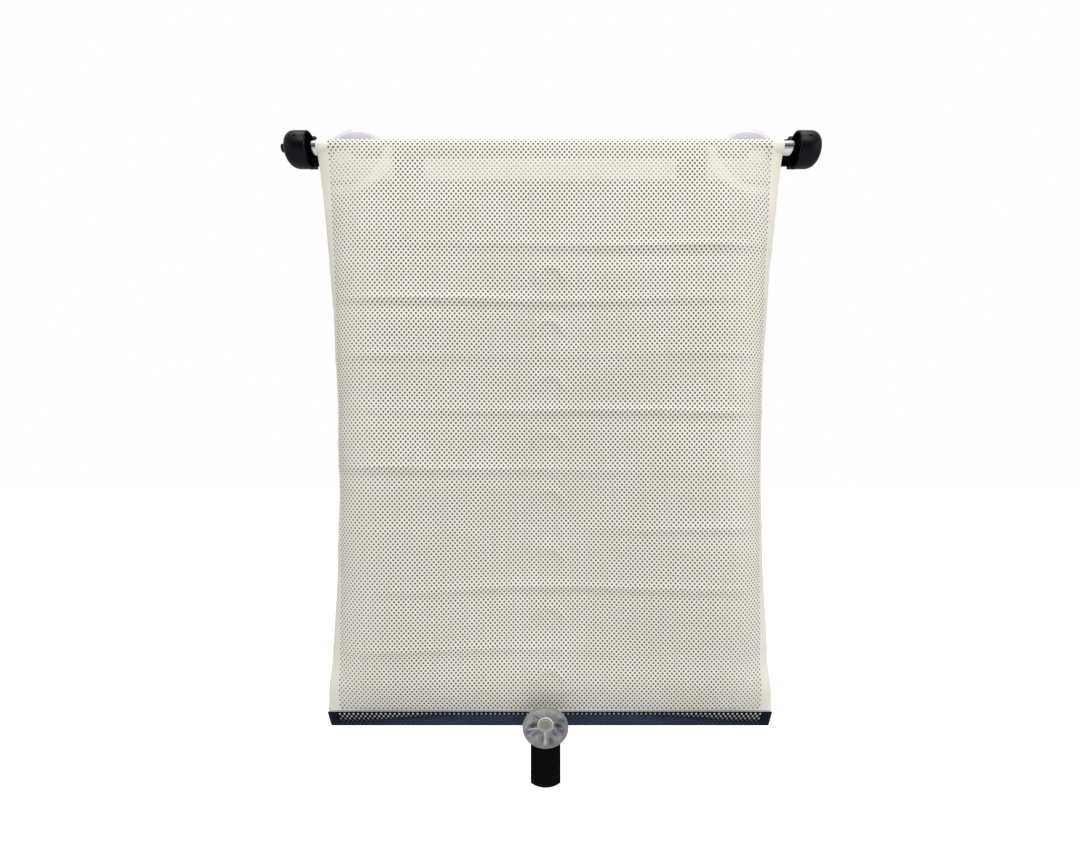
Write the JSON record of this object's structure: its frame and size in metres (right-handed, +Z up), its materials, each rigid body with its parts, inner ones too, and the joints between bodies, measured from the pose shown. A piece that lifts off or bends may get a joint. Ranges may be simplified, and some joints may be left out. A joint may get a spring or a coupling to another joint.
{
  "type": "car side window roller sunshade",
  "caption": "Spring roller sunshade with a perforated vinyl film, chrome tube, round end caps, back rail, suction cups, weighted hem and pull tab.",
  "frame": {"origin": "on the glass plane where the top suction cups' lips rest, level with the roller's axis, behind the middle of the film", "axes": "+X to the right along the roller as seen from inside the car, +Y out through the glass, +Z up"},
  "size_m": [0.465, 0.041, 0.5995],
  "materials": {
    "black_plastic": "satin moulded black plastic",
    "pale_strip": "plain pale plastic strip",
    "clear_vinyl": "clear soft vinyl, faintly grey",
    "spring_steel": "plain steel",
    "chrome": "bright plated tube",
    "cream_film": "cream vinyl film with a fine leather grain, perforated in staggered rows, navy on its back",
    "navy_film": "navy back face of the film, folded to the front, perforated"
  },
  "bodies": {
    "frame": {"back_rail": "black_plastic", "backing_strip": "pale_strip", "left_rail_clip": "black_plastic", "right_rail_clip": "black_plastic", "left_suction_cup": "clear_vinyl", "right_suction_cup": "clear_vinyl", "left_end_cap": "black_plastic", "right_end_cap": "black_plastic", "mandrel_rod": "spring_steel", "power_spring": "spring_steel", "button_spring": "spring_steel", "shade_film": "cream_film"},
    "roller": {"roller_tube": "chrome", "film_turns": "cream_film", "left_end_plug": "black_plastic", "right_end_plug": "black_plastic", "spring_anchor": "black_plastic"},
    "button": {"release_button": "black_plastic", "brake_pin": "spring_steel", "brake_disc": "spring_steel"},
    "hem": {"hem_sleeve": "navy_film", "hem_bar": "spring_steel", "pull_tab": "black_plastic", "bottom_suction_cup": "clear_vinyl"}
  },
  "joints": [
    {"name": "shade_travel", "type": "slide", "parent": "frame", "child": "hem", "axis": [0, -0.0567, 0.9984], "range_m": [0, 0.455], "deforming": ["shade_film"]},
    {"name": "roller_spin", "type": "hinge", "parent": "frame", "child": "roller", "pos_m": [0, -0.026, 0], "axis": [-1, 0, 0], "range_deg": [0, 3285], "deforming": ["power_spring"]},
    {"name": "button_press", "type": "slide", "parent": "frame", "child": "button", "axis": [1, 0, 0], "range_m": [0, 0.0025], "stiffness_N_per_m": 500, "deforming": ["button_spring"]}
  ],
  "couplings": [
    {"joint": "roller_spin", "follows": "shade_travel", "rad_per_m": 125.8}
  ]
}
